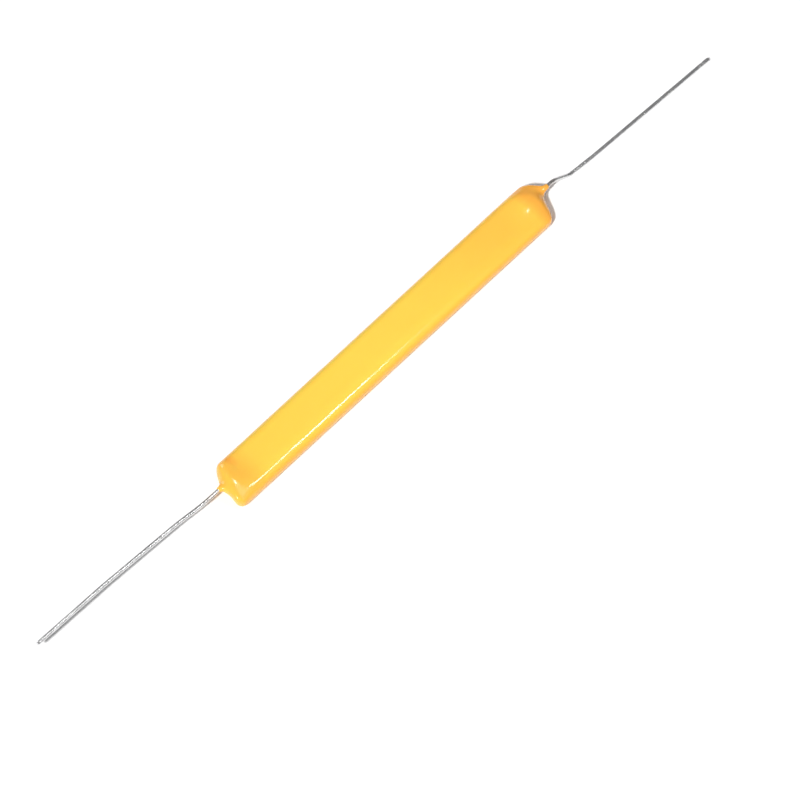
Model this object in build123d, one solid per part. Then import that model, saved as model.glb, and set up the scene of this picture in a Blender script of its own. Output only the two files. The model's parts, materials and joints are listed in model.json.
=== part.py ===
"""High-voltage flat thick-film resistor with two axial wire leads, in a dipped epoxy coat.

Frame: +X runs along the body towards the right lead, +Y across it and +Z up. The origin is the centre of the
flat underside that the body lies on. All sizes are in millimetres.
"""

from build123d import *
import math
import os

LEFT, RIGHT = -1, 1

# Ceramic plate that carries the printed films.
SUBSTRATE_LENGTH = 60.0
SUBSTRATE_WIDTH = 5.0
SUBSTRATE_THICKNESS = 1.0

# Printed and fired films on the plate's upper face.
FILM_THICKNESS = 0.02
PAD_LENGTH = 4.2
PAD_INSET = 0.2
TRACK_LINE_WIDTH = 0.35
TRACK_PITCH = 0.8
TRACK_EDGE_MARGIN = 0.45
TRACK_LAP = 0.6
TRACK_STEP = 0.1
GLAZE_OVER_TRACK = 0.03
GLAZE_MARGIN = 0.2

# Wire leads, soldered flat on the pads, and how they were left lying.
LEAD_DIAMETER = 0.6
LEAD_LAP_ON_PLATE = 3.0
LEAD_SIDE_OFFSET = {LEFT: 0.35, RIGHT: 0.55}
LEAD_TIP_CHAMFER = 0.05
LEFT_BEND_1 = (-34.9, 0.0, 0.0)
LEFT_BEND_2 = (-39.9, 0.3, 0.4)
LEFT_BEND_3 = (-54.0, 0.66, 1.1)
LEFT_TIP = (-66.55, 0.81, 1.35)
LEFT_BEND_RADIUS = 30.0
RIGHT_BEND_1 = (34.7, 0.0, 0.0)
RIGHT_BEND_2_X = 37.9
RIGHT_BEND_2_SIDE = -0.21
RIGHT_BEND_3_X = 42.5
RIGHT_BEND_3_SIDE = -0.55
RIGHT_TIP_X = 64.7
RIGHT_TIP_SIDE = -1.5
RIGHT_BEND_RADIUS = 2.5

# Solder that holds each lead down.
SOLDER_UNDER_LEAD = 0.05
SOLDER_OVER_LEAD = 0.05
SOLDER_WIDTH = 2.0
SOLDER_LENGTH = 3.1

# Dipped coat: how thick it lies on each side of the plate.
COAT_UNDER = 0.85
COAT_OVER = 0.85
COAT_SIDE = 0.9
COAT_END = 1.0
COAT_EDGE_RADIUS = 1.2

# The coat piles up over each soldered end, then draws in onto the wire.
COAT_BULGE = {LEFT: 0.25, RIGHT: 0.15}
BULGE_FROM_END = 2.0
BULGE_SPREAD = 1.15
MENISCUS_LENGTH = {LEFT: 1.0, RIGHT: 2.4}
MENISCUS_WALL = 0.09

# How each side of the section grows from the wire to its full size: length, roundness of the shoulder, flare.
GROWTH = {
    LEFT: {"front": (1.45, 4.4, 8.2), "back": (3.1, 1.6, 2.4), "over": (2.8, 2.2, 2.0), "under": (1.65, 4.1, 7.8)},
    RIGHT: {"front": (3.5, 1.8, 6.4), "back": (3.1, 1.7, 2.5), "over": (3.6, 2.0, 2.2), "under": (3.2, 2.1, 6.4)},
}
CORNER_SHARE = 0.44
END_ZONE = 5.2
END_STATIONS = 23

# Sizes that follow from the ones above.
LEAD_RADIUS = LEAD_DIAMETER / 2
PLATE_TOP = COAT_UNDER + SUBSTRATE_THICKNESS
LEAD_HEIGHT = PLATE_TOP + FILM_THICKNESS + SOLDER_UNDER_LEAD + LEAD_RADIUS
COAT_HALF_LENGTH = SUBSTRATE_LENGTH / 2 + COAT_END
COAT_HALF_WIDTH = SUBSTRATE_WIDTH / 2 + COAT_SIDE
COAT_HEIGHT = PLATE_TOP + COAT_OVER
PAD_INNER_X = SUBSTRATE_LENGTH / 2 - PAD_INSET - PAD_LENGTH


def grow(distance, length, shoulder, flare):
    """0 at the coat's edge on the wire, 1 where the coat has its full size."""
    t = min(max(distance / length, 0.0), 1.0)
    return (1.0 - (1.0 - t) ** shoulder) ** flare


def coat_section(side, distance):
    """The coat's rounded section at a distance in from its edge on the wire: its four limits and corner radius."""
    x = side * (COAT_HALF_LENGTH + MENISCUS_LENGTH[side] - distance)
    thin = LEAD_RADIUS + MENISCUS_WALL
    from_end = COAT_HALF_LENGTH - abs(x)
    bulge = COAT_BULGE[side] * math.exp(-(((from_end - BULGE_FROM_END) / BULGE_SPREAD) ** 2))
    full = {
        "front": COAT_HALF_WIDTH + LEAD_SIDE_OFFSET[side],
        "back": COAT_HALF_WIDTH - LEAD_SIDE_OFFSET[side],
        "over": COAT_HEIGHT + bulge - LEAD_HEIGHT,
        "under": LEAD_HEIGHT,
    }
    reach = {name: thin + (full[name] - thin) * grow(distance, *GROWTH[side][name]) for name in full}
    y_low, y_high = LEAD_SIDE_OFFSET[side] - reach["front"], LEAD_SIDE_OFFSET[side] + reach["back"]
    z_low, z_high = LEAD_HEIGHT - reach["under"], LEAD_HEIGHT + reach["over"]
    radius = min(COAT_EDGE_RADIUS, CORNER_SHARE * min(y_high - y_low, z_high - z_low))
    return x, y_low, y_high, z_low, z_high, radius


def section_face(x, y_low, y_high, z_low, z_high, radius):
    """A rounded rectangle standing across the body at x."""
    centre = Plane(origin=(x, (y_low + y_high) / 2, (z_low + z_high) / 2), x_dir=(0, 1, 0), z_dir=(1, 0, 0))
    return centre * RectangleRounded(y_high - y_low, z_high - z_low, radius)


def box_between(low, high):
    """A box from its two opposite corners."""
    size = [b - a for a, b in zip(low, high)]
    middle = [(a + b) / 2 for a, b in zip(low, high)]
    return Pos(*middle) * Box(*size)


def coat_end(side):
    """One end of the coat: the pile over the soldered lead, the shoulders and the draw-in onto the wire."""
    tip = COAT_HALF_LENGTH + MENISCUS_LENGTH[side]
    zone = tip - (COAT_HALF_LENGTH - END_ZONE)
    steps = [zone * (i / (END_STATIONS - 1)) ** 1.1 for i in range(END_STATIONS)]
    return loft([section_face(*coat_section(side, distance)) for distance in steps])


def coat_outside():
    """The coat as a filled body: a straight middle and the two ends."""
    start = COAT_HALF_LENGTH - END_ZONE
    middle = extrude(
        section_face(-start, -COAT_HALF_WIDTH, COAT_HALF_WIDTH, 0.0, COAT_HEIGHT, COAT_EDGE_RADIUS), 2 * start
    )
    return middle + coat_end(LEFT) + coat_end(RIGHT)


def ceramic_substrate():
    """The alumina plate."""
    return Pos(0, 0, COAT_UNDER + SUBSTRATE_THICKNESS / 2) * Box(SUBSTRATE_LENGTH, SUBSTRATE_WIDTH, SUBSTRATE_THICKNESS)


def termination(side):
    """A silver pad near one end of the plate."""
    centre_x = side * (PAD_INNER_X + PAD_LENGTH / 2)
    width = SUBSTRATE_WIDTH - 2 * PAD_INSET
    return Pos(centre_x, 0, PLATE_TOP + FILM_THICKNESS / 2) * Box(PAD_LENGTH, width, FILM_THICKNESS)


def track_centreline():
    """The meander's centreline, from one pad's inner edge to the other's."""
    swing = SUBSTRATE_WIDTH / 2 - TRACK_EDGE_MARGIN - TRACK_LINE_WIDTH / 2
    lines = int(2 * (PAD_INNER_X - TRACK_PITCH) / TRACK_PITCH) + 1
    x = -(lines - 1) * TRACK_PITCH / 2
    y = swing
    points = [(-PAD_INNER_X - TRACK_STEP / 2, y)]
    for _ in range(lines):
        points += [(x, y), (x, -y)]
        x, y = x + TRACK_PITCH, -y
    points.append((PAD_INNER_X + TRACK_STEP / 2, y))
    return points


def shift_path(points, distance):
    """A path of straight runs moved sideways by a distance, with mitred corners."""
    normals = []
    for (x0, y0), (x1, y1) in zip(points, points[1:]):
        run = math.hypot(x1 - x0, y1 - y0)
        normals.append((-(y1 - y0) / run, (x1 - x0) / run))
    before, after = [normals[0]] + normals, normals + [normals[-1]]
    moved = []
    for (x, y), a, b in zip(points, before, after):
        scale = distance / (1 + a[0] * b[0] + a[1] * b[1])
        moved.append((x + scale * (a[0] + b[0]), y + scale * (a[1] + b[1])))
    return moved


def resistive_track():
    """The printed meander, with a tab lapped onto each pad."""
    path = track_centreline()
    half = TRACK_LINE_WIDTH / 2
    outline = shift_path(path, half) + shift_path(path, -half)[::-1]
    track = extrude(Plane.XY.offset(PLATE_TOP) * make_face(Polyline(*outline, close=True)), FILM_THICKNESS)
    for side, y in ((LEFT, path[0][1]), (RIGHT, path[-1][1])):
        inner, edge, lapped = PAD_INNER_X - TRACK_STEP, PAD_INNER_X, PAD_INNER_X + TRACK_LAP
        tab = box_between((inner, y - half, PLATE_TOP), (lapped, y + half, PLATE_TOP + 2 * FILM_THICKNESS))
        tab -= box_between((edge, y - 1, PLATE_TOP - 1), (lapped + 1, y + 1, PLATE_TOP + FILM_THICKNESS))
        track += tab if side == RIGHT else tab.mirror(Plane.YZ)
    return track - termination(LEFT) - termination(RIGHT)


def glaze_slab():
    """The glaze's outer shape, which lies over the whole track and laps the pads."""
    half_length = PAD_INNER_X + TRACK_LAP + GLAZE_MARGIN / 2
    half_width = SUBSTRATE_WIDTH / 2 - GLAZE_MARGIN
    top = PLATE_TOP + 2 * FILM_THICKNESS + GLAZE_OVER_TRACK
    return box_between((-half_length, -half_width, PLATE_TOP), (half_length, half_width, top))


def lead_path(side):
    """The wire's centreline from its inner end on the pad to its free tip."""
    start = Vector(side * (SUBSTRATE_LENGTH / 2 - LEAD_LAP_ON_PLATE), LEAD_SIDE_OFFSET[side], LEAD_HEIGHT)
    exit_line = Vector(0, LEAD_SIDE_OFFSET[side], LEAD_HEIGHT)
    if side == LEFT:
        offsets = (LEFT_BEND_1, LEFT_BEND_2, LEFT_BEND_3, LEFT_TIP)
        points = [start] + [exit_line + Vector(*offset) for offset in offsets]
        return FilletPolyline(*points, radius=LEFT_BEND_RADIUS)
    floor = LEAD_RADIUS - LEAD_HEIGHT
    points = [
        start,
        exit_line + Vector(*RIGHT_BEND_1),
        exit_line + Vector(RIGHT_BEND_2_X, RIGHT_BEND_2_SIDE, floor),
        exit_line + Vector(RIGHT_BEND_3_X, RIGHT_BEND_3_SIDE, floor),
        exit_line + Vector(RIGHT_TIP_X, RIGHT_TIP_SIDE, floor),
    ]
    return FilletPolyline(*points, radius=RIGHT_BEND_RADIUS)


def lead(side):
    """A round tinned wire bent as it lies, with its sheared tip broken by a small chamfer."""
    path = lead_path(side)
    wire = sweep(Plane(origin=path @ 0, z_dir=path % 0) * Circle(LEAD_RADIUS), path=path)
    tip_edge = wire.edges().filter_by(GeomType.CIRCLE).sort_by(Axis.X)[-1 if side == RIGHT else 0]
    return chamfer(tip_edge, LEAD_TIP_CHAMFER)


def solder_dome(side):
    """The solder's outer shape: a low dome over the lead's end."""
    height = SOLDER_UNDER_LEAD + LEAD_DIAMETER + SOLDER_OVER_LEAD
    base = PLATE_TOP + FILM_THICKNESS
    centre_x = side * (SUBSTRATE_LENGTH / 2 - PAD_INSET - SOLDER_LENGTH / 2)

    def segment(plane, width, depth):
        left, right = (-width / 2, 0), (width / 2, 0)
        outline = Line(left, right) + ThreePointArc(right, (0, height), left)
        return extrude(plane * make_face(outline), depth, both=True)

    foot = (centre_x, LEAD_SIDE_OFFSET[side], base)
    across = segment(Plane(origin=foot, x_dir=(0, 1, 0), z_dir=(1, 0, 0)), SOLDER_WIDTH, SOLDER_LENGTH)
    along = segment(Plane(origin=foot, x_dir=(1, 0, 0), z_dir=(0, -1, 0)), SOLDER_LENGTH, SOLDER_WIDTH)
    return across & along


def main():
    """Build the ten pieces and write each to its own file."""
    plate = ceramic_substrate()
    pads = {side: termination(side) for side in (LEFT, RIGHT)}
    leads = {side: lead(side) for side in (LEFT, RIGHT)}
    domes = {side: solder_dome(side) for side in (LEFT, RIGHT)}
    track = resistive_track()
    slab = glaze_slab()
    coat = coat_outside() - plate - slab
    for side in (LEFT, RIGHT):
        coat = coat - pads[side] - domes[side] - leads[side]
    pieces = {
        "epoxy_coating": coat,
        "ceramic_substrate": plate,
        "termination_left": pads[LEFT],
        "termination_right": pads[RIGHT],
        "resistive_track": track,
        "glass_overglaze": slab - track - pads[LEFT] - pads[RIGHT],
        "solder_left": domes[LEFT] - leads[LEFT],
        "solder_right": domes[RIGHT] - leads[RIGHT],
        "lead_left": leads[LEFT],
        "lead_right": leads[RIGHT],
    }
    os.makedirs("parts", exist_ok=True)
    for name, shape in pieces.items():
        solids = shape.solids()
        box = shape.bounding_box()
        print(name, len(solids), "solid(s)", round(shape.volume, 4), "mm3", box.min, box.max)
        export_step(solids[0] if len(solids) == 1 else Compound(solids), f"parts/{name}.step")


main()
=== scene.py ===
# %% [markdown]
# A high-voltage chip resistor, dressed for the camera
#
# The real part is a thin ceramic plate that carries a printed resistor. A wire is soldered to each end, and the
# whole plate is then dipped in glossy amber epoxy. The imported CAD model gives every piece's place and size. This
# lesson gives the two pieces that show, the coat and the wires, the shape and finish that they really have, and
# gives the hidden pieces inside a proper material too. Each step is a short cell that prints what it made.

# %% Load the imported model
import json
import math

import bpy
from mathutils import Matrix, Vector


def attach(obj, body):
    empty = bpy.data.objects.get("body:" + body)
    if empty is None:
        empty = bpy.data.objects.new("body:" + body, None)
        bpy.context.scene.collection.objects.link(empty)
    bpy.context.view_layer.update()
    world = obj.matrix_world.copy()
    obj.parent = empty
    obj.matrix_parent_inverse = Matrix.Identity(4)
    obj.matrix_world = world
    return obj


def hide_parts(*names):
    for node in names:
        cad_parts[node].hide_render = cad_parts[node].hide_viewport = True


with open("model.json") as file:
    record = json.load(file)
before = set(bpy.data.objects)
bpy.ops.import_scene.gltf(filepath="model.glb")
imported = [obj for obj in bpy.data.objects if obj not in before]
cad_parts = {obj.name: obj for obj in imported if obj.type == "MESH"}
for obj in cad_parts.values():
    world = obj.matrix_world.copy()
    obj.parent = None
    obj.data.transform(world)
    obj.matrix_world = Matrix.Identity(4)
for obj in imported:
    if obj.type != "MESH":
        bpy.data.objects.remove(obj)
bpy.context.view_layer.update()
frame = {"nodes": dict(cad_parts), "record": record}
print("nodes:", ", ".join(sorted(frame["nodes"])))

# %% [markdown]
# Millimetres
#
# The frame is in metres, but a part this small is easier to think of in millimetres. Sizes in this file are in
# millimetres, and MM turns them into metres at the last moment.

# %% Units, and a helper that puts data in the scene
MM = 0.001


def link(name, data):
    """Put new data in the scene as an object and return it."""
    made = bpy.data.objects.new(name, data)
    bpy.context.scene.collection.objects.link(made)
    return made


print("1 mm is", MM, "m")

# %% [markdown]
# The camera
#
# The part is looked down on at a little under 60 degrees, from far away, so its two ends look the same size. A
# long lens on a distant camera does that. Two angles and a small roll set the direction, and the lens is worked
# out from how many millimetres the picture should span.

# %% Aim the camera
CAMERA_AZIMUTH = math.radians(-50.0)
CAMERA_ELEVATION = math.radians(57.0)
CAMERA_ROLL = math.radians(-2.26)
CAMERA_DISTANCE = 2000.0
CAMERA_SPAN = 106.52
CAMERA_AIM = (2.33, -6.46)

right = Vector((math.cos(CAMERA_AZIMUTH), math.sin(CAMERA_AZIMUTH), 0))
back = Vector(
    (
        math.sin(CAMERA_AZIMUTH) * math.cos(CAMERA_ELEVATION),
        -math.cos(CAMERA_AZIMUTH) * math.cos(CAMERA_ELEVATION),
        math.sin(CAMERA_ELEVATION),
    )
)
up = back.cross(right)
tilted_right = math.cos(CAMERA_ROLL) * right - math.sin(CAMERA_ROLL) * up
tilted_up = math.sin(CAMERA_ROLL) * right + math.cos(CAMERA_ROLL) * up
target = CAMERA_AIM[0] * tilted_right + CAMERA_AIM[1] * tilted_up

camera = link("camera", bpy.data.cameras.new("camera"))
camera.data.sensor_width = 36.0
camera.data.lens = camera.data.sensor_width * CAMERA_DISTANCE / CAMERA_SPAN
camera.data.clip_start = 0.05
camera.data.clip_end = 50.0
axes = Matrix((tilted_right, tilted_up, back)).transposed().to_4x4()
camera.matrix_world = Matrix.Translation((target + CAMERA_DISTANCE * back) * MM) @ axes
bpy.context.scene.camera = camera
print("lens", round(camera.data.lens), "mm at", CAMERA_DISTANCE * MM, "m")

# %% [markdown]
# Formulas as nodes
#
# The coat's shape follows a formula, and in a node tree a formula is a chain of Math nodes. Wiring those by hand
# is slow to read, so a small class wraps a socket. Adding, multiplying or comparing two of these adds the Math
# node and its links, and the formula below reads as it would on paper. It works in shape and shader trees alike.


# %% A socket that can be calculated with
class Num:
    """One number for each point, carried by a node's output socket."""

    def __init__(self, tree, socket):
        self.tree, self.socket = tree, socket

    def calc(self, operation, *others):
        node = self.tree.nodes.new("ShaderNodeMath")
        node.operation = operation
        for slot, value in zip(node.inputs, (self, *others)):
            if isinstance(value, Num):
                self.tree.links.new(value.socket, slot)
            else:
                slot.default_value = value
        return Num(self.tree, node.outputs[0])

    def __add__(self, other):
        return self.calc("ADD", other)

    def __sub__(self, other):
        return self.calc("SUBTRACT", other)

    def __mul__(self, other):
        return self.calc("MULTIPLY", other)

    def __truediv__(self, other):
        return self.calc("DIVIDE", other)

    def __pow__(self, other):
        return self.calc("POWER", other)

    def flip(self):
        return self.calc("MULTIPLY", -1.0)

    def one_minus(self):
        return self.flip() + 1.0

    def size(self):
        return self.calc("ABSOLUTE")

    def least(self, other):
        return self.calc("MINIMUM", other)

    def most(self, other):
        return self.calc("MAXIMUM", other)

    def within(self, low, high):
        return self.most(low).least(high)


def bell(distance, spread):
    """1 at distance 0, falling away smoothly over about one spread."""
    ratio = distance / spread
    return (ratio * ratio).flip().calc("EXPONENT")


def soft_step(x, middle, width):
    """0 well before the middle and 1 well after it, with a soft change over the width."""
    t = ((x - middle) / width + 0.5).within(0.0, 1.0)
    return t * t * (t * -2.0 + 3.0)


def add(tree, kind, settings=None, **inputs):
    """Add a node, set its settings, and fill its inputs with numbers, vectors or sockets."""
    node = tree.nodes.new(kind)
    for name, value in (settings or {}).items():
        setattr(node, name, value)
    for name, value in inputs.items():
        slot = next(s for s in node.inputs if s.enabled and s.name == name.replace("_", " "))
        if isinstance(value, Num):
            tree.links.new(value.socket, slot)
        elif isinstance(value, bpy.types.NodeSocket):
            tree.links.new(value, slot)
        else:
            slot.default_value = value
    return node


def split(tree, vector):
    """The three numbers of a vector socket."""
    parts = add(tree, "ShaderNodeSeparateXYZ", Vector=vector)
    return [Num(tree, socket) for socket in parts.outputs]


print("socket arithmetic ready")

# %% [markdown]
# Shape trees
#
# A shape tree needs the same start and end each time: named inputs for its sizes, and at the end smooth faces,
# Realize Instances and Set Material, because the export keeps only real geometry. The tree is run once on a
# holder object, its result is kept as a plain mesh, and the holder is thrown away.


# %% Start, end and run a shape tree
def new_tree(name, sizes):
    """A shape tree with a named input for each size, and the sockets to use them by."""
    tree = bpy.data.node_groups.new(name, "GeometryNodeTree")
    tree.interface.new_socket("Geometry", in_out="INPUT", socket_type="NodeSocketGeometry")
    for label, value in sizes.items():
        kind = "NodeSocketInt" if isinstance(value, int) else "NodeSocketFloat"
        tree.interface.new_socket(label, in_out="INPUT", socket_type=kind).default_value = value
    tree.interface.new_socket("Material", in_out="INPUT", socket_type="NodeSocketMaterial")
    tree.interface.new_socket("Geometry", in_out="OUTPUT", socket_type="NodeSocketGeometry")
    source = tree.nodes.new("NodeGroupInput")
    return tree, source, {label: Num(tree, source.outputs[label]) for label in sizes}


def end_tree(tree, source, geometry):
    """Close a tree: smooth faces, real geometry, and its material."""
    smooth = add(tree, "GeometryNodeSetShadeSmooth", Geometry=geometry)
    real = add(tree, "GeometryNodeRealizeInstances", Geometry=smooth.outputs[0])
    painted = add(tree, "GeometryNodeSetMaterial", Geometry=real.outputs[0], Material=source.outputs["Material"])
    sink = tree.nodes.new("NodeGroupOutput")
    tree.links.new(painted.outputs[0], sink.inputs[0])


def run_tree(holder, tree, name, material, sizes=None):
    """Run the tree on the holder and keep the result as a plain mesh, in a new object at the origin."""
    modifier = holder.modifiers.new("shape", "NODES")
    modifier.node_group = tree
    sockets = {item.name: item.identifier for item in tree.interface.items_tree if item.in_out == "INPUT"}
    for label, value in (sizes or {}).items():
        modifier[sockets[label]] = value
    modifier[sockets["Material"]] = material
    bpy.context.view_layer.update()
    evaluated = holder.evaluated_get(bpy.context.evaluated_depsgraph_get())
    mesh = bpy.data.meshes.new_from_object(evaluated)
    holder.modifiers.remove(modifier)
    bpy.data.objects.remove(holder)
    mesh.name = name
    mesh.materials.clear()
    mesh.materials.append(material)
    return link(name, mesh)


def drift(tree, spot, length, height, detail=1.0):
    """Smooth random ups and downs of about this length and height."""
    noise = add(tree, "ShaderNodeTexNoise", Vector=spot, Scale=length ** -1.0, Detail=detail)
    return (Num(tree, noise.outputs[0]) - 0.5) * 2.0 * height


print("shape tree helpers ready")

# %% [markdown]
# The shape of the dipped coat
#
# Epoxy hangs round the plate as a rounded bar. It piles up over the soldered ends, sinks a little where the pile
# begins, and draws in to a thin skirt on each wire. A stack of modelled rings could follow that, but one rule
# does it with less work. Every section is a rounded box whose four sides grow from the wire to the full coat,
# each at its own rate, which makes the front corner boxy and lets the back one slope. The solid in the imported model
# follows the same rule, with one radius all round and lower piles. The skin made here has softer upper edges, the
# widest in front and at the ends, higher piles, slightly longer skirts, a crease and faint waves. Its left front
# corner swells outwards.

# %% The coat's sizes
GROWTH = {
    "Left": {
        "front": (1.9, 3.2, 5.5),
        "back": (3.5, 2.25, 3.4),
        "over": (2.85, 2.2, 2.0),
        "under": (2.5, 4.1, 7.8),
    },
    "Right": {
        "front": (4.1, 3.1, 8.0),
        "back": (3.4, 4.4, 5.0),
        "over": (3.1, 1.45, 1.7),
        "under": (3.0, 4.0, 9.0),
    },
}
WIRE_RADIUS = 0.3
WIRE_HEIGHT = 2.22
LEFT_SIDE, RIGHT_SIDE = 0.35, 0.55
COAT = {
    "Stations": 380,
    "Ring points": 120,
    "Left tip": -32.2,
    "Right tip": 33.6,
    "Half width": 3.4,
    "Height": 2.7,
    "Edge radius": 1.2,
    "Front edge reach": 2.3,
    "Back edge reach": 1.4,
    "End edge reach": 2.9,
    "Left roll place": 1.2,
    "Left roll fade": 1.6,
    "Right roll place": 2.2,
    "Right roll fade": 1.8,
    "Wire radius": WIRE_RADIUS,
    "Wire height": WIRE_HEIGHT,
    "Left wire side": LEFT_SIDE,
    "Right wire side": RIGHT_SIDE,
    "Side change": 10.0,
    "Skirt wall": 0.09,
    "Skirt lip": 0.1,
    "Crown": 0.05,
    "Left pile height": 0.14,
    "Left pile middle": -30.1,
    "Left pile spread": 2.2,
    "Right pile middle": 29.9,
    "Right pile spread": 2.4,
    "Left ridge height": 0.22,
    "Left ridge width": 1.55,
    "Left ridge side": 0.3,
    "Right ridge height": 0.49,
    "Right ridge width": 2.1,
    "Right ridge side": 0.23,
    "Lobe reach": 0.55,
    "Lobe side": -2.7,
    "Lobe width": 1.15,
    "Lobe place": 0.9,
    "Lobe fade": 1.5,
    "Crease depth": 0.035,
    "Crease place": -28.2,
    "Crease width": 0.28,
    "Crease slant": 0.12,
    "Crease side": 0.6,
    "Crease fade": 3.2,
    "Wave height": 0.016,
    "Wave length": 4.6,
    "Ripple height": 0.003,
    "Ripple length": 1.1,
}
# Shares of a side, a radius or the tube's length, each without a unit.
WIRE_GRIP = 0.995
STATION_CROWDING = 0.75
ROLL_TURN, ROLL_TURN_WIDTH = 0.2, -0.4
ROLL_FOOT, ROLL_FOOT_WIDTH = 0.0, 0.6
FULLEST = 0.999
WAVE_STRETCH = 0.6
WAVE_FOOT, WAVE_FOOT_WIDTH = 0.1, 0.8
for end, sides in GROWTH.items():
    for side, values in sides.items():
        for word, value in zip(("reach", "shoulder", "flare"), values):
            COAT[f"{end} {side} {word}"] = value
print("the coat has", len(COAT), "named sizes")

# %% [markdown]
# One ring, many stations
#
# Curve to Mesh sweeps a square of points along a line, which gives a closed tube with capped ends. Set Position
# then moves every point to its true place. A point's place along the tube picks the station, and its place on
# the square picks where it sits on that station's rounded box.


# %% The coat's tree
def grown(size, end, side, distance):
    """0 at the skirt's lip, 1 where this side of the section has its full size."""
    reach, shoulder, flare = (size[f"{end} {side} {word}"] for word in ("reach", "shoulder", "flare"))
    along = (distance / reach).within(0.0, 1.0)
    return (along.one_minus() ** shoulder).one_minus() ** flare


def coat_limits(size, x):
    """The half sizes and centre of the section at x, and how far each side has grown."""
    from_left, from_right = x - size["Left tip"], size["Right tip"] - x
    shift = size["Right wire side"] - size["Left wire side"]
    side = size["Left wire side"] + shift * soft_step(x, 0.0, size["Side change"])
    lip = (from_left.least(from_right) / size["Skirt lip"]).flip().calc("EXPONENT").one_minus()
    thin = size["Wire radius"] * WIRE_GRIP + size["Skirt wall"] * lip
    full = {
        "front": size["Half width"] + side,
        "back": size["Half width"] - side,
        "over": size["Height"] - size["Wire height"],
        "under": size["Wire height"],
    }
    growth = {s: grown(size, "Left", s, from_left) * grown(size, "Right", s, from_right) for s in full}
    reach = {s: thin + (full[s] - thin) * growth[s] for s in full}
    half = ((reach["front"] + reach["back"]) * 0.5, (reach["over"] + reach["under"]) * 0.5)
    centre_y = side + (reach["back"] - reach["front"]) * 0.5
    centre_z = size["Wire height"] + (reach["over"] - reach["under"]) * 0.5
    return half, (centre_y, centre_z), growth


def coat_pile(size, x, y):
    """How much the top stands up over the soldered ends, less the crease beside the left pile."""
    ridge = {
        end: size[f"{end} ridge height"] * bell(y - size[f"{end} ridge side"], size[f"{end} ridge width"])
        for end in ("Left", "Right")
    }
    left = bell((x - size["Left pile middle"]).most(0.0), size["Left pile spread"])
    right = bell((x - size["Right pile middle"]).least(0.0), size["Right pile spread"])
    crease = bell(x - size["Crease place"] - y * size["Crease slant"], size["Crease width"])
    crease = crease * soft_step(y, size["Crease side"], size["Crease fade"])
    pile = left * (size["Left pile height"] + ridge["Left"]) + right * ridge["Right"]
    return pile - crease * size["Crease depth"]


def coat_tree():
    tree, source, size = new_tree("dipped coat", COAT)
    line = add(tree, "GeometryNodeCurvePrimitiveLine", Start=(-1, 0, 0), End=(1, 0, 0))
    line = add(tree, "GeometryNodeResampleCurve", Curve=line.outputs[0], Count=size["Stations"])
    box = add(tree, "GeometryNodeCurvePrimitiveQuadrilateral", Width=2.0, Height=2.0)
    box = add(tree, "GeometryNodeResampleCurve", Curve=box.outputs[0], Count=size["Ring points"])
    tube = add(
        tree, "GeometryNodeCurveToMesh", Curve=line.outputs[0], Profile_Curve=box.outputs[0], Fill_Caps=True
    )
    place = add(tree, "GeometryNodeInputPosition")
    along, across, above = split(tree, place.outputs[0])

    # Stations crowd towards both ends, where the shape changes fastest.
    spread = (along * (math.pi / 2)).calc("SINE") * STATION_CROWDING + along * (1.0 - STATION_CROWDING)
    x = (size["Right tip"] + size["Left tip"]) * 0.5 + (size["Right tip"] - size["Left tip"]) * 0.5 * spread
    (half_y, half_z), (centre_y, centre_z), growth = coat_limits(size, x)

    # The upper edges roll over further than the radius: most at the ends, less in front, least at the back.
    radius = size["Edge radius"].least(half_y.least(half_z) * FULLEST)
    near_left = bell((x - size["Left tip"] - size["Left roll place"]).most(0.0), size["Left roll fade"])
    near_right = bell((size["Right tip"] - x - size["Right roll place"]).most(0.0), size["Right roll fade"])
    in_front = soft_step(across, ROLL_TURN, ROLL_TURN_WIDTH)
    wide = size["Back edge reach"] + (size["Front edge reach"] - size["Back edge reach"]) * in_front
    wide = wide + (size["End edge reach"] - wide) * near_left.most(near_right)
    on_top = soft_step(above, ROLL_FOOT, ROLL_FOOT_WIDTH)
    widen = (wide - size["Edge radius"]).most(0.0) * on_top * growth["over"]
    reach_y = (radius + widen).least(half_y * FULLEST)

    # The corners are rounded by drawing each point in to a smaller box and out again by its reach.
    inner_y, inner_z = half_y - reach_y, half_z - radius
    flat_y, flat_z = across * half_y, above * half_z
    core_y, core_z = flat_y.within(inner_y.flip(), inner_y), flat_z.within(inner_z.flip(), inner_z)
    off_y, off_z = (flat_y - core_y) / reach_y, (flat_z - core_z) / radius
    length = (off_y * off_y + off_z * off_z).calc("SQRT").most(1e-6)
    out_y, out_z = off_y / length, off_z / length
    y = centre_y + core_y + out_y * reach_y
    z = centre_z + core_z + out_z * radius

    # Only the top is crowned and piled up, so the underside stays flat on the table.
    top = out_z.most(0.0) * growth["over"] * growth["front"]
    crown = size["Crown"] * ((y / size["Half width"]) ** 2.0).one_minus()
    z = z + top * (crown + coat_pile(size, x, y))

    # Slow waves and fine ripples stand in for the way a dipped skin settles.
    spot = add(tree, "ShaderNodeCombineXYZ", X=x * WAVE_STRETCH, Y=y, Z=z).outputs[0]
    moved = drift(tree, spot, size["Wave length"], size["Wave height"])
    moved = moved + drift(tree, spot, size["Ripple length"], size["Ripple height"])
    moved = moved * soft_step(out_z, WAVE_FOOT, WAVE_FOOT_WIDTH) * growth["front"] * growth["back"]
    y, z = y + out_y * moved, z + out_z * moved

    # The coat swells out past the left end at the front corner.
    lobe = bell(y - size["Lobe side"], size["Lobe width"])
    lobe = lobe * bell(x - size["Left tip"] - size["Lobe place"], size["Lobe fade"])
    x = x - lobe * size["Lobe reach"]

    placed = add(tree, "ShaderNodeCombineXYZ", X=x * MM, Y=y * MM, Z=z * MM)
    shaped = add(tree, "GeometryNodeSetPosition", Geometry=tube.outputs[0], Position=placed.outputs[0])
    end_tree(tree, source, shaped.outputs[0])
    return tree


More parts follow.
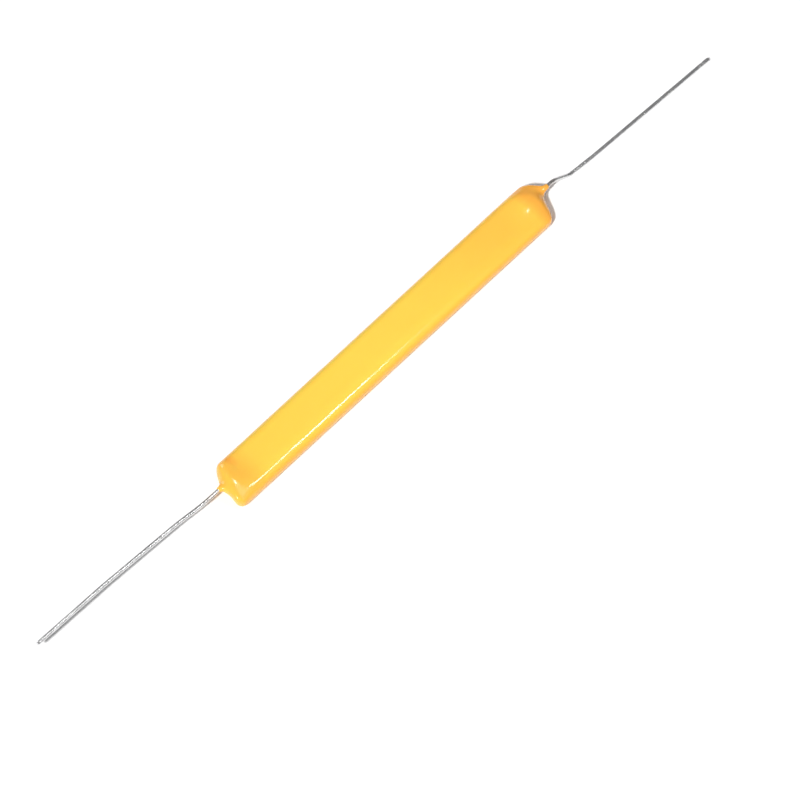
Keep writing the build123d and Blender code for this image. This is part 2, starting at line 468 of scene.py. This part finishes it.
tree = coat_tree()
print("the coat's tree has", len(tree.nodes), "nodes")

# %% Make the coat
primer = bpy.data.materials.new("primer")
coat = run_tree(link("coat_holder", bpy.data.meshes.new("coat_holder")), tree, "dipped_coat", primer)
print("dipped_coat:", len(coat.data.polygons), "faces,", [round(v / MM, 2) for v in coat.dimensions], "mm")

# %% [markdown]
# The wires
#
# Each lead is a length of tinned copper wire that was bent by hand. It isn't a slack cord, so it is swept along
# straight runs with rounded bends, which is how such a wire is formed: a polyline, Fillet Curve for the bends,
# and Curve to Mesh for the round section. The cutters leave a small shoulder at the tip, and drawing and hot
# tinning leave the surface slightly uneven, which is what breaks up the highlight on a real lead.

# %% The wires' bends
FLOOR_LINE = WIRE_RADIUS
BENDS = {
    "lead_left": [
        (-27.0, LEFT_SIDE, WIRE_HEIGHT),
        (-34.9, LEFT_SIDE, WIRE_HEIGHT),
        (-39.9, LEFT_SIDE + 0.3, WIRE_HEIGHT + 0.4),
        (-54.0, LEFT_SIDE + 0.66, WIRE_HEIGHT + 1.1),
        (-66.55, LEFT_SIDE + 0.81, WIRE_HEIGHT + 1.35),
    ],
    "lead_right": [
        (27.0, RIGHT_SIDE, WIRE_HEIGHT),
        (34.7, RIGHT_SIDE, WIRE_HEIGHT),
        (37.9, RIGHT_SIDE - 0.21, FLOOR_LINE),
        (42.5, RIGHT_SIDE - 0.55, FLOOR_LINE),
        (64.7, RIGHT_SIDE - 1.5, FLOOR_LINE),
    ],
}
BEND_RADIUS = {"lead_left": 30.0, "lead_right": 2.5}
WIRE = {
    "Bend radius": 2.5,
    "Wire radius": WIRE_RADIUS,
    "Sides": 32,
    "Step": 0.16,
    "Tip shoulder": 0.05,
    "Unevenness": 0.007,
    "Unevenness length": 1.3,
}
BEND_POINTS = 28
TIP_MARGIN = 0.01


# %% The wires' tree
def wire_tree():
    tree, source, size = new_tree("tinned wire", WIRE)
    bent = add(
        tree,
        "GeometryNodeFilletCurve",
        {"mode": "POLY"},
        Curve=source.outputs["Geometry"],
        Count=BEND_POINTS,
        Radius=size["Bend radius"],
        Limit_Radius=True,
    )
    even = add(tree, "GeometryNodeResampleCurve", {"mode": "LENGTH"}, Curve=bent.outputs[0], Length=size["Step"])

    # The last ring closes in by the shoulder that the cutters leave.
    walked = Num(tree, add(tree, "GeometryNodeSplineParameter").outputs["Length"])
    whole = Num(tree, add(tree, "GeometryNodeSplineLength").outputs["Length"])
    share = size["Tip shoulder"] / size["Wire radius"]
    to_tip = (whole - walked - TIP_MARGIN) / size["Tip shoulder"]
    scale = share.one_minus() + share * to_tip.within(0.0, 1.0)
    ring = add(tree, "GeometryNodeCurvePrimitiveCircle", Resolution=size["Sides"], Radius=size["Wire radius"])
    swept = add(
        tree,
        "GeometryNodeCurveToMesh",
        Curve=even.outputs[0],
        Profile_Curve=ring.outputs[0],
        Scale=scale,
        Fill_Caps=True,
    )

    # Drawing and tinning leave the surface slightly uneven, inwards only, so the gauge still holds.
    place = add(tree, "GeometryNodeInputPosition").outputs[0]
    dips = drift(tree, place, size["Unevenness length"], size["Unevenness"], 2.0).least(0.0)
    normal = add(tree, "GeometryNodeInputNormal").outputs[0]
    shift = add(tree, "ShaderNodeVectorMath", {"operation": "SCALE"}, Vector=normal, Scale=dips)
    rough = add(tree, "GeometryNodeSetPosition", Geometry=swept.outputs[0], Offset=shift.outputs[0])
    metres = add(tree, "GeometryNodeTransform", Geometry=rough.outputs[0], Scale=(MM, MM, MM))
    end_tree(tree, source, metres.outputs[0])
    return tree


def bent_line(name, points):
    """A curve object through the bends, in millimetres."""
    curve = bpy.data.curves.new(name, "CURVE")
    curve.dimensions = "3D"
    spline = curve.splines.new("POLY")
    spline.points.add(len(points) - 1)
    for point, place in zip(spline.points, points):
        point.co = (*place, 1.0)
    return link(name, curve)


tree = wire_tree()
wires = {}
for node, points in BENDS.items():
    holder = bent_line(f"{node}_bends", points)
    wires[node] = run_tree(holder, tree, f"tinned_{node}", primer, {"Bend radius": BEND_RADIUS[node]})
    print(node, len(wires[node].data.polygons), "faces,", [round(v / MM, 2) for v in wires[node].dimensions], "mm")

# %% Let the new pieces stand for their CAD nodes
for piece, node, slot in (
    (coat, "epoxy_coating", "epoxy_coat"),
    (wires["lead_left"], "lead_left", "tinned_wire"),
    (wires["lead_right"], "lead_right", "tinned_wire"),
):
    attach(piece, "root")
    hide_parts(node)
print("the coat and both wires ride on the root body")

# %% [markdown]
# Effects that several finishes share
#
# Every finish here needs two things: a slow drift in tone, and a fine unevenness that moves the highlight. Each
# is a node group with named inputs, built once and placed in each material with its own values. The groups read
# Object coordinates, so the pattern stays on the piece whatever the camera does.


# %% Start and end a shared effect
def new_effect(name, numbers):
    """A shader group with a Value output, a named input for each number, and the object's own coordinates."""
    tree = bpy.data.node_groups.new(name, "ShaderNodeTree")
    for label, value in numbers.items():
        tree.interface.new_socket(label, in_out="INPUT", socket_type="NodeSocketFloat").default_value = value
    tree.interface.new_socket("Value", in_out="OUTPUT", socket_type="NodeSocketFloat")
    source = tree.nodes.new("NodeGroupInput")
    spot = tree.nodes.new("ShaderNodeTexCoord").outputs["Object"]
    return tree, {label: Num(tree, source.outputs[label]) for label in numbers}, spot


def end_effect(tree, value):
    """Send the value out of the group."""
    sink = tree.nodes.new("NodeGroupOutput")
    tree.links.new(value.socket, sink.inputs[0])
    return tree


def use_effect(tree, effect, **numbers):
    """Place a shared effect in a material and return its value."""
    node = tree.nodes.new("ShaderNodeGroup")
    node.node_tree = effect
    for label, value in numbers.items():
        node.inputs[label.replace("_", " ")].default_value = value
    return Num(tree, node.outputs[0])


# %% Tone drift and fine unevenness
tree, number, spot = new_effect("tone_drift", {"Patch mm": 6.0, "Stretch": 1.0, "Detail": 2.0, "Contrast": 1.0})
x, y, z = split(tree, spot)
stretched = add(tree, "ShaderNodeCombineXYZ", X=x / number["Stretch"], Y=y, Z=z).outputs[0]
noise = add(
    tree,
    "ShaderNodeTexNoise",
    Vector=stretched,
    Scale=(number["Patch mm"] * MM) ** -1.0,
    Detail=number["Detail"],
    Roughness=0.55,
)
tone_drift = end_effect(tree, ((Num(tree, noise.outputs[0]) - 0.5) * number["Contrast"] + 0.5).within(0.0, 1.0))

tree, number, spot = new_effect("orange_peel", {"Dimple mm": 1.1, "Speck mm": 0.12, "Speck share": 0.15})
dimples = add(
    tree, "ShaderNodeTexNoise", Vector=spot, Scale=(number["Dimple mm"] * MM) ** -1.0, Detail=1.0, Roughness=0.4
)
specks = add(tree, "ShaderNodeTexNoise", Vector=spot, Scale=(number["Speck mm"] * MM) ** -1.0, Detail=2.0)
height = Num(tree, dimples.outputs[0]) * number["Speck share"].one_minus()
orange_peel = end_effect(tree, height + Num(tree, specks.outputs[0]) * number["Speck share"])
print("shared effects:", tone_drift.name, "and", orange_peel.name)


# %% A finish starts with one shader and its plain numbers
def finish(name, **plain):
    """A material with its Principled shader's plain numbers set."""
    material = bpy.data.materials.new(name)
    material.use_nodes = True
    shader = material.node_tree.nodes["Principled BSDF"]
    for label, value in plain.items():
        shader.inputs[label.replace("_", " ")].default_value = value
    return material, material.node_tree, shader


def blend(tree, share, low, high):
    """A colour between two others, each a colour or a colour socket."""
    mix = tree.nodes.new("ShaderNodeMix")
    mix.data_type = "RGBA"
    factor, first, second = mix.inputs[0], mix.inputs[6], mix.inputs[7]
    tree.links.new(share.socket, factor)
    for slot, colour in ((first, low), (second, high)):
        if isinstance(colour, bpy.types.NodeSocket):
            tree.links.new(colour, slot)
        else:
            slot.default_value = (*colour, 1.0)
    return mix.outputs[2]


def bump(tree, shader, height, distance):
    """Feed a height through a Bump node to the shader's Normal."""
    node = add(tree, "ShaderNodeBump", Height=height, Distance=distance, Strength=1.0)
    tree.links.new(node.outputs[0], shader.inputs["Normal"])


print("finish helpers ready")

# %% [markdown]
# Amber epoxy
#
# The coat is a pigmented epoxy, glossy and a little translucent, amber yellow with a slow random mottle. Over
# that, light and shade are painted into the colour by place on the piece: a painted pool of light makes the broad
# face yellowest a little left of the middle, and painted shade turns it orange on the rolled sides, along the foot,
# in the crease beside the left pile, on the end slopes and gradually towards both ends. A little subsurface
# scattering softens the shading. A fine orange peel under the gloss breaks up the long highlight.

# %% Mix the amber epoxy
# The two face colours are the dim and the lit face under a painted pool of light.
FACE_LOW, FACE_HIGH = (0.99, 0.59, 0.074), (0.995, 0.675, 0.085)
MOTTLE_COLOUR = (0.975, 0.5, 0.055)
# The orange that painted shade mixes the face towards.
PAINTED_SHADE_ORANGE = (0.985, 0.435, 0.06)
PEEL_DEPTH = 0.012 * MM
# Where the painted pool of light and each painted shade have their middle and how wide their change is, in
# millimetres. The side and both left ones are measured outwards from the piece's middle.
PAINTED_LIGHT_AND_SHADE = {
    "light_pool_and_cloud": (-7.0, 24.0),
    "side": (3.15, 0.9),
    "foot": (1.0, 1.3),
    "right end": (28.8, 2.8),
    "left end": (30.9, 2.2),
    "crease": (-27.9, 0.9),
    "crease side": (0.8, 3.6),
    "right part": (17.0, 14.0),
    "left part": (26.5, 4.0),
}

amber, tree, shader = finish("amber_epoxy", IOR=1.5, Subsurface_Weight=0.2, Subsurface_Scale=0.0007)
shader.inputs["Subsurface Radius"].default_value = (1.0, 0.45, 0.12)
spot = tree.nodes.new("ShaderNodeTexCoord").outputs["Object"]
x, y, z = (number / MM for number in split(tree, spot))
mottle = use_effect(tree, tone_drift, Patch_mm=3.2, Stretch=1.8, Detail=3.0, Contrast=1.6)
cloud = use_effect(tree, tone_drift, Patch_mm=11.0, Stretch=1.6, Detail=1.0, Contrast=1.4)
# A painted pool of light, brightest a little left of the middle, with a quarter of slow random cloud over it.
light_pool_and_cloud = bell(x - PAINTED_LIGHT_AND_SHADE["light_pool_and_cloud"][0], PAINTED_LIGHT_AND_SHADE["light_pool_and_cloud"][1]) * 0.75 + cloud * 0.25
# Painted shade on the rolled sides and along the foot.
edge = soft_step(y.size(), *PAINTED_LIGHT_AND_SHADE["side"]).most(soft_step(z, *PAINTED_LIGHT_AND_SHADE["foot"]).one_minus() * 0.8)
# Painted shade on the end slopes, full at the right end and weaker at the left.
end = soft_step(x, *PAINTED_LIGHT_AND_SHADE["right end"]).most(soft_step(x.flip(), *PAINTED_LIGHT_AND_SHADE["left end"]) * 0.45)
# Painted shade in the crease beside the left pile.
crease = bell(x - PAINTED_LIGHT_AND_SHADE["crease"][0], PAINTED_LIGHT_AND_SHADE["crease"][1]) * soft_step(y, *PAINTED_LIGHT_AND_SHADE["crease side"])
# Painted shade that grows gradually towards both ends.
shade_towards_ends = (soft_step(x, *PAINTED_LIGHT_AND_SHADE["right part"]) * 0.28).most(soft_step(x.flip(), *PAINTED_LIGHT_AND_SHADE["left part"]) * 0.5)
# All the painted shade together, which mixes the face towards the shade orange.
painted_shade = (edge * 0.8).most(end * 0.95).most(crease).most(shade_towards_ends)
face = blend(tree, light_pool_and_cloud, FACE_LOW, FACE_HIGH)
face = blend(tree, mottle * 0.16, face, MOTTLE_COLOUR)
colour = blend(tree, painted_shade.within(0.0, 1.0), face, PAINTED_SHADE_ORANGE)
tree.links.new(colour, shader.inputs["Base Color"])
tree.links.new((mottle * 0.05 + 0.09).socket, shader.inputs["Roughness"])
peel = use_effect(tree, orange_peel, Dimple_mm=1.3, Speck_mm=0.16, Speck_share=0.08)
bump(tree, shader, peel, PEEL_DEPTH)
coat.data.materials[0] = amber
print(amber.name, "has", len(tree.nodes), "nodes")

# %% [markdown]
# Tinned copper wire
#
# Hot-dipped tin is a satin mirror with fine draw lines along it, cloudy patches where it has dulled, and a
# brownish stain where flux and heat reached it beside the coat. On a wire this thin the colour of the metal
# matters less than what it mirrors, so the patches act on the roughness as well as on the colour.

# %% Draw and tin the wire
DULL_TIN, BRIGHT_TIN = (0.7, 0.7, 0.705), (0.9, 0.9, 0.905)
DRAW_LINE = (0.42, 0.42, 0.43)
FLUX_STAIN = (0.42, 0.29, 0.19)
STAIN_PLACE, STAIN_FADE = 33.9, 1.1
LINE_DEPTH = 0.012 * MM

tinned, tree, shader = finish("tinned_copper_wire", Metallic=1.0)
spot = tree.nodes.new("ShaderNodeTexCoord").outputs["Object"]
x = split(tree, spot)[0] / MM
patches = use_effect(tree, tone_drift, Patch_mm=0.7, Stretch=3.0, Detail=4.0, Contrast=2.2)
lines = use_effect(tree, tone_drift, Patch_mm=0.07, Stretch=14.0, Detail=2.0, Contrast=2.4)
stain = bell(x.size() - STAIN_PLACE, STAIN_FADE) * (patches * 0.6 + 0.2)
metal = blend(tree, patches, DULL_TIN, BRIGHT_TIN)
metal = blend(tree, lines * 0.3, metal, DRAW_LINE)
tree.links.new(blend(tree, stain * 0.7, metal, FLUX_STAIN), shader.inputs["Base Color"])
tree.links.new((patches * 0.08 + 0.21).socket, shader.inputs["Roughness"])
bump(tree, shader, lines * 0.6 + patches * 0.4, LINE_DEPTH)
for piece in wires.values():
    piece.data.materials[0] = tinned
print(tinned.name, "has", len(tree.nodes), "nodes")

# %% [markdown]
# The pieces inside
#
# The plate, its printed films and the solder are sealed in the coat and don't show, but a reader who takes the
# coat off should find them finished. Their CAD solids have the right shapes, so they keep them, and only their
# material slots change. Fired alumina is matt and slightly speckled. The films are screen printed, which leaves
# a fine mesh mark, and the glaze over them is tinted glass. Solder is bright where it wetted and dull elsewhere.


# %% Finishes for the plate, the films and the solder
GRAIN_DEPTH = 0.006 * MM


def speckled(name, low, high, patch, rough, grain, **plain):
    """A finish whose tone and roughness drift between two values over a fine grain."""
    material, tree, shader = finish(name, **plain)
    tone = use_effect(tree, tone_drift, Patch_mm=patch, Detail=4.0, Contrast=1.8)
    tree.links.new(blend(tree, tone, low, high), shader.inputs["Base Color"])
    tree.links.new((tone * (rough[1] - rough[0]) + rough[0]).socket, shader.inputs["Roughness"])
    peel = use_effect(tree, orange_peel, Dimple_mm=grain, Speck_mm=grain * 0.3, Speck_share=0.4)
    bump(tree, shader, peel, GRAIN_DEPTH)
    return material


inside = {
    "alumina": speckled(
        "fired_alumina", (0.82, 0.81, 0.77), (0.92, 0.91, 0.88), patch=0.5, rough=(0.55, 0.7), grain=0.12
    ),
    "silver_pad": speckled(
        "fired_silver_film",
        (0.6, 0.59, 0.56),
        (0.8, 0.79, 0.75),
        patch=0.4,
        rough=(0.32, 0.5),
        grain=0.1,
        Metallic=1.0,
    ),
    "resistor_film": speckled(
        "ruthenium_film", (0.025, 0.025, 0.028), (0.06, 0.06, 0.065), patch=0.3, rough=(0.5, 0.65), grain=0.1
    ),
    "overglaze": speckled(
        "tinted_overglaze",
        (0.1, 0.24, 0.14),
        (0.16, 0.33, 0.2),
        patch=1.2,
        rough=(0.08, 0.16),
        grain=0.6,
        IOR=1.52,
        Coat_Weight=0.5,
    ),
    "solder": speckled(
        "wetted_solder",
        (0.5, 0.51, 0.53),
        (0.72, 0.73, 0.75),
        patch=0.6,
        rough=(0.15, 0.38),
        grain=0.3,
        Metallic=1.0,
    ),
}
slots = {part["node"]: part["material_slot"] for part in frame["record"]["subparts"]}
for node, slot in slots.items():
    if slot in inside:
        for holder in frame["nodes"][node].material_slots:
            holder.material = inside[slot]
print("finished inside:", ", ".join(node for node, slot in slots.items() if slot in inside))

# %% [markdown]
# The table
#
# The part lies on plain white paper that shows no tone of its own, with only the deep shadows left on it. Light
# Path makes the paper fully white where it is looked at, whether directly, in a mirror or through glass. For all
# other light it is a little darker, so what it throws back on the part stays at a plain level.

# %% Lay the white paper
PAPER_HALF = 20000.0 * MM
PAPER_DROP = 0.004 * MM
paper_mesh = bpy.data.meshes.new("white_paper")
corners = [(-1, -1), (1, -1), (1, 1), (-1, 1)]
paper_mesh.from_pydata([(u * PAPER_HALF, v * PAPER_HALF, -PAPER_DROP) for u, v in corners], [], [(0, 1, 2, 3)])
paper = link("white_paper", paper_mesh)
white, tree, shader = finish("bright_white_paper", Base_Color=(0.95, 0.95, 0.95, 1), Roughness=1.0)
shader.inputs["Specular IOR Level"].default_value = 0.0
seen = add(tree, "ShaderNodeBsdfDiffuse", Color=(1.0, 1.0, 1.0, 1))
path = tree.nodes.new("ShaderNodeLightPath")
looked_at = Num(tree, path.outputs["Is Camera Ray"]).most(Num(tree, path.outputs["Is Glossy Ray"]))
looked_at = looked_at.most(Num(tree, path.outputs["Is Transmission Ray"]))
mixed = tree.nodes.new("ShaderNodeMixShader")
tree.links.new(looked_at.socket, mixed.inputs[0])
tree.links.new(shader.outputs[0], mixed.inputs[1])
tree.links.new(seen.outputs[0], mixed.inputs[2])
tree.links.new(mixed.outputs[0], tree.nodes["Material Output"].inputs["Surface"])
paper_mesh.materials.append(white)
print("paper:", 2 * PAPER_HALF, "m wide")

# %% [markdown]
# The light
#
# The main lamp, low on the left, throws the short shadow at the right-hand end and gives most of the light. Three
# weak lamps are there to be mirrored: the edge lamp as the long highlight on the front roll, the long wire panel
# along the left wire, and the pile lamp as a bright spot on each pile. The back fill and a dim room lift the far
# sides, and the room looks paler in reflections than the light that it gives. Each lamp is given as the level at
# which it lights a flat white surface. With the room they add up to about 1.1, so a colour renders a little
# lighter than it is written.


# %% Set the lamps
def lamp(name, direction, distance, size, level, aim=(0, 0, 0)):
    """An area lamp, round or given as width and length, that lights a flat white surface at the aim to a level."""
    data = bpy.data.lights.new(name, "AREA")
    width, length = size if isinstance(size, tuple) else (size, size)
    data.shape = "DISK" if width == length else "RECTANGLE"
    data.size, data.size_y = width * MM, length * MM
    direction = Vector(direction).normalized()
    data.energy = level * math.pi**2 * (distance * MM) ** 2 / direction.z
    made = link(name, data)
    made.location = (Vector(aim) + distance * direction) * MM
    upright = Vector((0, direction.z, -direction.y)).normalized()
    made.rotation_euler = Matrix((upright.cross(direction), upright, direction)).transposed().to_euler()
    print(name, "level", level)


lamp("main_lamp", (-0.8, -0.3, 1.0), distance=1500, size=150, level=0.83)
lamp("edge_lamp", (0.417, -0.400, 0.816), distance=180, size=22, level=0.075, aim=(-15, -2.6, 2.5))
lamp("wire_panel", (0.417, -0.38, 0.826), distance=250, size=(28, 400), level=0.11, aim=(-55, 0, 1))
lamp("pile_lamp", (0.181, 0.133, 0.975), distance=500, size=28, level=0.055)
lamp("back_fill", (0.1, 1.0, 0.3), distance=1200, size=500, level=0.035)

ROOM_LIGHT = (0.035, 0.035, 0.036, 1)
ROOM_MIRRORED = (0.22, 0.22, 0.22, 1)
world = bpy.data.worlds.new("pale_room")
bpy.context.scene.world = world
world.use_nodes = True
tree = world.node_tree
dim = tree.nodes["Background"]
dim.inputs["Color"].default_value = ROOM_LIGHT
pale = add(tree, "ShaderNodeBackground", Color=ROOM_MIRRORED)
mirrored = tree.nodes.new("ShaderNodeLightPath").outputs["Is Glossy Ray"]
room = tree.nodes.new("ShaderNodeMixShader")
tree.links.new(mirrored, room.inputs[0])
tree.links.new(dim.outputs[0], room.inputs[1])
tree.links.new(pale.outputs[0], room.inputs[2])
tree.links.new(room.outputs[0], tree.nodes["World Output"].inputs["Surface"])
bpy.context.scene.view_settings.view_transform = "Standard"
print("room level", ROOM_LIGHT[0])
